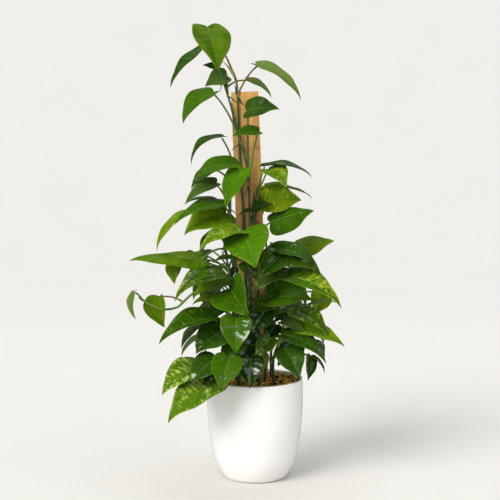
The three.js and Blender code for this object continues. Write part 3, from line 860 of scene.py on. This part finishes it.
def leaf_axes(leaf):
    """The leaf's base, its length and its own axes: across, along from base to tip, and up."""
    base = Vector(leaf.base)
    along = Vector(leaf.tip) - base
    length = along.length
    along.normalize()
    turn, lift = leaf.face[0], radians(leaf.face[1])
    up = heading(turn) * cos(lift) + Vector((0, 0, sin(lift)))
    up = (up - along * up.dot(along)).normalized()
    return base, length, along.cross(up), along, up


BLADE_ROWS = 40
BLADE_COLUMNS = [0, 0.035, 0.1, 0.22, 0.38, 0.55, 0.72, 0.86, 0.955, 1]
BLADE_THICKNESS = 0.5
RIB_DEPTH = 1.6
RIB_REACH = 0.07
RIPPLE = 0.016
QUILTING = 0.045
VEIN_PAIRS = 9.0
STEM_SIDES = 10


class Points:
    """A shape whose points carry numbers and vectors, each under a name."""

    def __init__(self, numbers, vectors):
        self.shape = bmesh.new()
        layers = self.shape.verts.layers
        self.layers = {name: layers.float.new(name) for name in numbers}
        self.layers.update({name: layers.float_vector.new(name) for name in vectors})

    def add(self, place, **values):
        made = self.shape.verts.new(place)
        for name, value in values.items():
            made[self.layers[name]] = value
        return made


def blade_pattern():
    """A thin closed shell of length 1 and breadth 1, with rows that run out along the side veins."""
    pattern = Points(("row", "column", "side"), ("spot",))

    def point(share, column, side):
        q = abs(column)
        along = rib_along(share) + (edge_along(share) - rib_along(share)) * q ** 1.2
        out = edge_out(share) * column
        lift = 0.5 * side * (1 - q ** 8)
        if side < 0:
            lift -= RIB_DEPTH * max(0, 1 - q / RIB_REACH) * (1 - along) * min(1, share * 3)
        spot = (out, along, lift)
        return pattern.add(spot, row=share, column=column, side=side, spot=spot)

    columns = [*(-c for c in BLADE_COLUMNS[:0:-1]), *BLADE_COLUMNS]
    base, tip = point(0, 0, 0), point(1, 0, 0)
    sheets = {side: [[base] * len(columns)] for side in (1, -1)}
    for i in range(1, BLADE_ROWS):
        share = i / BLADE_ROWS
        left, right = point(share, -1, 0), point(share, 1, 0)
        for side, sheet in sheets.items():
            row = [
                base if column == 0 and rib_along(share) == 0 else point(share, column, side)
                for column in columns[1:-1]
            ]
            sheet.append([left, *row, right])
    for side, sheet in sheets.items():
        sheet.append([tip] * len(columns))
        skin(pattern.shape, sheet, side > 0)
    return plain_mesh("blade", pattern.shape)


# The tree that grows a vine. Lines of the start mesh become stems and stalks of their own radius, and
# each loose point with a length becomes a blade on its own axes.
vine_tree, add, given, end = new_group("GeometryNodeTree", "leafy_vine", {
    "Geometry": "Geometry", "Blade": "Object", "Thickness": "Float", "Ripple": "Float",
    "Quilting": "Float", "Vein Pairs": "Float", "Stem Sides": "Int", "Leaf Finish": "Material",
    "Stem Finish": "Material",
}, {"Geometry": "Geometry"})


def mesh_value(name, kind="FLOAT"):
    return add("GeometryNodeInputNamedAttribute", {"Name": name}, data_type=kind)


length = mesh_value("length")
out, along, lift = mesh_value("spot", "FLOAT_VECTOR").parts()
out = out * mesh_value("broad")
column = mesh_value("column")
row = mesh_value("row")
inner = abs(column)

# The blade is arched, folded and wavy at its rim, curls under at its tip and is quilted by its veins.
height = along * (1 - along) * mesh_value("arch") * 4 + abs(out) * mesh_value("fold")
turns = row * 15 + mesh_value("phase") * 6.283 + column.op("SIGN") * 1.3
wave = turns.op("SINE") * inner ** 3 * (1 - row ** 4)
tip_curl = (along - 0.8).op("MAXIMUM", 0) ** 2 * -1.2
puffed = (row * pi * given["Vein Pairs"]).op("SINE") ** 2 * inner * (1 - inner)
height = height + wave * given["Ripple"] + tip_curl + puffed * given["Quilting"]
blade_place = mesh_value("root", "FLOAT_VECTOR")
for axis, amount in (
    ("along_axis", along * length), ("across_axis", out * length),
    ("up_axis", height * length + lift * given["Thickness"]),
):
    inputs = {0: blade_place, 1: scaled(mesh_value(axis, "FLOAT_VECTOR"), amount)}
    blade_place = add("ShaderNodeVectorMath", inputs)

leaf_points = add("GeometryNodeMeshToPoints", {
    "Mesh": given["Geometry"], "Selection": length.op("GREATER_THAN", 0)})
blades = realized(add("GeometryNodeInstanceOnPoints", {
    "Points": leaf_points,
    "Instance": add("GeometryNodeObjectInfo", {"Object": given["Blade"]}, "Geometry")}))
blades = add("GeometryNodeSetPosition", {"Geometry": blades, "Position": blade_place})
section = add("GeometryNodeCurvePrimitiveCircle", {"Resolution": given["Stem Sides"], "Radius": 1})
stalks = add("GeometryNodeCurveToMesh", {
    "Curve": add("GeometryNodeMeshToCurve", {"Mesh": given["Geometry"]}),
    "Profile Curve": section, "Scale": mesh_value("radius"), "Fill Caps": True})
set_inputs(end, {"Geometry": joined(
    finish_branch(blades, given["Leaf Finish"]), finish_branch(stalks, given["Stem Finish"]))})

# The waxy blade. Its veins, flecks and stripes follow the rows and columns of the blade.
leaf_finish, shader, place = new_material("waxy_leaf")
row, column, phase, side, shade, olive, fleck, cream, painted_sheen = (
    attribute(shader, name)
    for name in "row column phase side shade olive fleck cream bloom".split()
)


def along_veins(row_scale, column_scale, detail=2, shift=0):
    """An unevenness that is drawn out along the side veins and differs from leaf to leaf."""
    spot = joined_vector(row * row_scale, column * column_scale, phase * 37 + shift)
    return uneven(spot, 1, detail)


inner = abs(column)
upper = side.band(-0.5, -0.1)
mottle = uneven(place, 26)
fine_veins = along_veins(60, 2)
bent_row = row + (along_veins(3, 2, 1, 11) - 0.5) * 0.06
vein_wave = abs((bent_row * VEIN_PAIRS).op("FRACT") - 0.5)
side_vein = vein_wave.band(0.1, 0) * inner.band(1, 0.5)
midrib = inner.band(0.045, 0.015)
streaks = along_veins(48, 2.2, 3, 21) * 0.6 + along_veins(4, 2, 2, 31) * 0.4
stripes = along_veins(44, 1.6, 3, 41) * 0.55 + along_veins(5, 2.2, 2, 61) * 0.45
sheen = along_veins(3.5, 1.5, 2, 51) * 0.65 + along_veins(12, 1, 1, 71) * 0.35
cells = add_node(place.tree, "ShaderNodeTexVoronoi", {"Vector": place, "Scale": 75}, "Distance")
speck = cells.band(0.17, 0.08) * cells.also("Color").parts()[0].op("GREATER_THAN", 0.8)

# Over the green come, in this order: olive, yellow flecks, the yellow tip, pale specks, cream stripes,
# the side veins, the midrib, the pale rim and a grey-green wash of painted sheen. The underside is
# paler and duller.
top_colour = (shade + (mottle - 0.5) * 0.65 + (fine_veins - 0.5) * 0.45).blend(
    (0.006, 0.029, 0.0006), (0.067, 0.207, 0.0018))
for amount, colour in (
    (olive * along_veins(2.5, 1.2, 2, 5).band(0.25, 0.6), (0.16, 0.23, 0.004)),
    ((streaks + fleck * 0.14).band(0.6, 0.74) * fleck.op("SQRT") * 0.85, (0.42, 0.5, 0.03)),
    ((inner * 0.4 + row * 0.6 + streaks * 0.2).band(0.86, 1.08) * fleck * 0.9, (0.42, 0.47, 0.03)),
    (speck * (fleck * 3).op("MINIMUM", 0.75), (0.46, 0.55, 0.08)),
    ((stripes + cream * 0.1).band(0.58, 0.71) * cream, (0.44, 0.56, 0.13)),
    (side_vein * 0.16, (0.14, 0.29, 0.03)),
    (midrib * 0.42, (0.19, 0.35, 0.05)),
    (inner.band(0.93, 0.99) * 0.28, (0.28, 0.4, 0.04)),
    # Painted sheen: a grey-green wash that stands in for the shine of satiny leaves.
    (painted_sheen * 0.7, (0.135, 0.195, 0.05)),
):
    top_colour = amount.blend(top_colour, colour)
under = mottle.blend((0.085, 0.165, 0.045), (0.14, 0.22, 0.07))
under = (side_vein * 0.4 + midrib * 0.6).blend(under, (0.22, 0.33, 0.12))

# The wax shines in patches, most on dark leaves, less on the leaves at the top and none where the sheen is
# painted grey.
wax = (sheen + (0.3 - shade) * 0.22).band(0.54, 0.66, 0, 0.78) * (1 - painted_sheen) * upper
relief = side_vein * -0.55 + fine_veins * 0.25 + midrib * -0.8
set_inputs(shader, {
    "Base Color": upper.blend(under, top_colour), "Roughness": sheen.band(0.3, 0.7, 0.3, 0.42),
    "Coat Weight": wax * place.parts()[2].band(0.5, 0.84, 1, 0.12),
    "Specular IOR Level": 0.03, "Coat Roughness": 0.2, "Coat IOR": 1.9,
    "Normal": bump(relief, 0.7, 0.0016), "Coat Normal": bump(relief, 0.4, 0.0016),
})

# The stems and stalks: green to bluish green, with fine grooves along them, reddish where the sun has
# caught a stalk, and brown on roots and scars.
stem_finish, shader, place = new_material("green_stem")
blotches = uneven(place, 60)
grooves = grained(place, (700, 700, 30), 2)
stem_colour = colour_steps(attribute(shader, "hue") + (blotches - 0.5) * 0.16, [
    (0, (0.012, 0.05, 0.026)), (0.25, (0.034, 0.12, 0.024)), (0.5, (0.12, 0.27, 0.02)),
    (0.62, (0.33, 0.45, 0.06)), (0.78, (0.24, 0.12, 0.05)), (0.92, (0.06, 0.028, 0.012)),
    (1, (0.03, 0.016, 0.009)),
])
set_inputs(shader, {
    "Base Color": (grooves.band(0.62, 0.4) * 0.3).blend(stem_colour, (0.02, 0.04, 0.012)),
    "Roughness": blotches.band(0.3, 0.7, 0.36, 0.52),
    "Normal": bump(grooves * 0.6 + blotches * 0.4, 0.5, 0.0008),
})

LEAF_VALUES = "length broad arch fold phase shade olive fleck cream bloom".split()
LEAF_AXES = "root across_axis along_axis up_axis".split()


def add_line(skeleton, count, way, radius, hue):
    """A line along a way. Its place, radius and hue go by the share from 0 to 1."""
    last = None
    for share in shares(count):
        made = skeleton.add(way(share) * MM, radius=radius(share) * MM, hue=hue(share))
        if last:
            skeleton.shape.edges.new((last, made))
        last = made


def ramp(*stops):
    """A value by the share, which runs straight between (share, value) stops."""
    def at(share):
        for (s0, v0), (s1, v1) in zip(stops, stops[1:]):
            if share <= s1:
                return v0 + (v1 - v0) * (share - s0) / (s1 - s0)

    return at


LINE_STEP = 4
STEM_RADIUS = 3
JOINT_SWELL = 0.28
JOINT_REACH = 6
JOINT_SCAR = 3.4
SCAR_HUE = 0.9
STALK_INSET = 0.03
STALK_DROP = 0.8
STALK_BEND = 0.45
STALK_RISE = 0.22
STALK_RADIUS = ramp((0, 2.85), (0.25, 2.375), (0.8, 1.9), (0.93, 2.185), (1, 1.368))
STALK_HUE = 0.46
REDDISH_TINT = 0.3


def add_stem(skeleton, path, joints, hue):
    """The stem, swollen and brown at each joint where a stalk leaves it."""
    length = sum((path((i + 1) / 40) - path(i / 40)).length for i in range(40))

    def near(share):
        return min(abs(share - joint) * length for joint in joints)

    def radius(share):
        swell = JOINT_SWELL * exp(-((near(share) / JOINT_REACH) ** 2))
        return STEM_RADIUS * (1.08 - 0.28 * share) * (1 + swell)

    def hue_at(share):
        green = hue + 0.2 * share ** 3
        return green + (SCAR_HUE - green) * exp(-((near(share) / JOINT_SCAR) ** 2))

    add_line(skeleton, int(length / LINE_STEP), path, radius, hue_at)


def add_leaf(skeleton, path, leaf, reddish, draw):
    """A blade and the stalk that carries it. A dark leaf's stalk gets painted shade, as such leaves sit
    inside the plant.
    """
    base, length, *axes = leaf_axes(leaf)
    _, along, up = axes
    start = path(joint_share(path, leaf.at))
    end = base + along * STALK_INSET * length - up * STALK_DROP
    bend = start.lerp(end, STALK_BEND) + Vector((0, 0, STALK_RISE * (end - start).length))
    look = LOOKS[leaf.look]
    # Painted shade: the stalk of a leaf darker than plain is darkened, as such leaves sit in the shade
    # inside the plant.
    stalk_shade = 0.6 * min(0, look[0] - LOOKS["plain"][0])
    tint = REDDISH_TINT if reddish else draw.uniform(-0.1, 0.02) + stalk_shade
    add_line(
        skeleton, 16, lambda s: start * (1 - s) ** 2 + bend * 2 * s * (1 - s) + end * s * s,
        STALK_RADIUS, ramp((0, STALK_HUE + tint), (1, STALK_HUE + 0.06 + tint)))
    fold = tan(radians(leaf.fold))
    values = (length * MM, leaf.broad, leaf.arch, fold, draw.random(), *look)
    values = zip(LEAF_VALUES + LEAF_AXES, (*values, base * MM, *axes))
    skeleton.add(base * MM, **dict(values))


def add_root(skeleton, start, draw):
    """A short brown root that a climbing stem puts out at a joint."""
    aim = (heading(draw.uniform(-110, 110)) + Vector((0, 0, draw.uniform(-2.4, -0.3)))).normalized()
    reach = draw.uniform(12, 28)
    add_line(
        skeleton, 5, lambda s: start + aim * reach * s + Vector((0, 0, -4 * s * s)),
        ramp((0, 2), (1, 0.7)), ramp((0, 0.86), (1, 1)))


def add_sheath(skeleton, start, draw):
    """The dry brown sheath of an old leaf, which peels off the stem above its joint."""
    out = heading(draw.uniform(-80, 80))
    reach = draw.uniform(20, 38)
    add_line(
        skeleton, 6, lambda s: start + Vector((0, 0, reach * s)) + out * (2.2 + 6 * s * s),
        ramp((0, 1.4), (0.3, 2.4), (1, 0.3)), ramp((0, 0.88), (1, 0.98)))


def add_young_leaf(skeleton, start):
    """The youngest leaf of a stem, still rolled up and lime green."""
    add_line(
        skeleton, 8, lambda s: start + YOUNG_LEAF * s + Vector((0, 0, 5 * sin(pi * s))),
        ramp((0, 2), (0.35, 3.2), (1, 0.5)), ramp((0, 0.52), (0.3, 0.6), (1, 0.62)))


# Stems greener than the rest, and leaves on reddish stalks: the vine and the leaf's place in its list.
STEM_HUE = 0.05
STEM_HUES = {"runner": 0.36, "tall_left": 0.12}
REDDISH = {("tall_centre", 0), ("tall_centre", 1), ("runner", 1), ("mid_left", 5), ("centre", 2)}
YOUNG_LEAF = Vector((-32, -6, 44))
ROOTS_FROM = 400
ROOTS_WITHIN = 90
ROOTS_A_JOINT = 2
ROOT_CHANCE = 0.7
SHEATH_CHANCE = 0.9
PLANT_SEED = 3
SHEATH_SEED = 4

blade = new_object("blade", blade_pattern())
draw = random.Random(PLANT_SEED)
sheath_draw = random.Random(SHEATH_SEED)
for name, (route, rows) in vines.items():
    path = climb(route)
    leaves = [Leaf(*row) for row in rows]
    joints = [joint_share(path, leaf.at) for leaf in leaves]
    on_board = [j for j in joints if path(j).z > ROOTS_FROM and abs(path(j).x) < ROOTS_WITHIN]
    skeleton = Points(["radius", "hue", *LEAF_VALUES], LEAF_AXES)
    add_stem(skeleton, path, joints, STEM_HUES.get(name, STEM_HUE))
    for number, leaf in enumerate(leaves):
        add_leaf(skeleton, path, leaf, (name, number) in REDDISH, draw)
    for joint in on_board * ROOTS_A_JOINT:
        if draw.random() < ROOT_CHANCE:
            add_root(skeleton, path(joint), draw)
    for joint in on_board:
        if sheath_draw.random() < SHEATH_CHANCE:
            add_sheath(skeleton, path(joint), sheath_draw)
    if name == "tall_centre":
        add_young_leaf(skeleton, path(1))
    vine_mesh = grown_mesh("vine", plain_mesh("skeleton", skeleton.shape), vine_tree, {
        "Blade": blade, "Thickness": BLADE_THICKNESS * MM, "Ripple": RIPPLE, "Quilting": QUILTING,
        "Vein Pairs": VEIN_PAIRS, "Stem Sides": STEM_SIDES, "Leaf Finish": leaf_finish,
        "Stem Finish": stem_finish,
    })
    vine = new_piece("vine_" + name, vine_mesh)
    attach(vine, "root")
    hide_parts("stem_" + name)
bpy.data.objects.remove(blade)
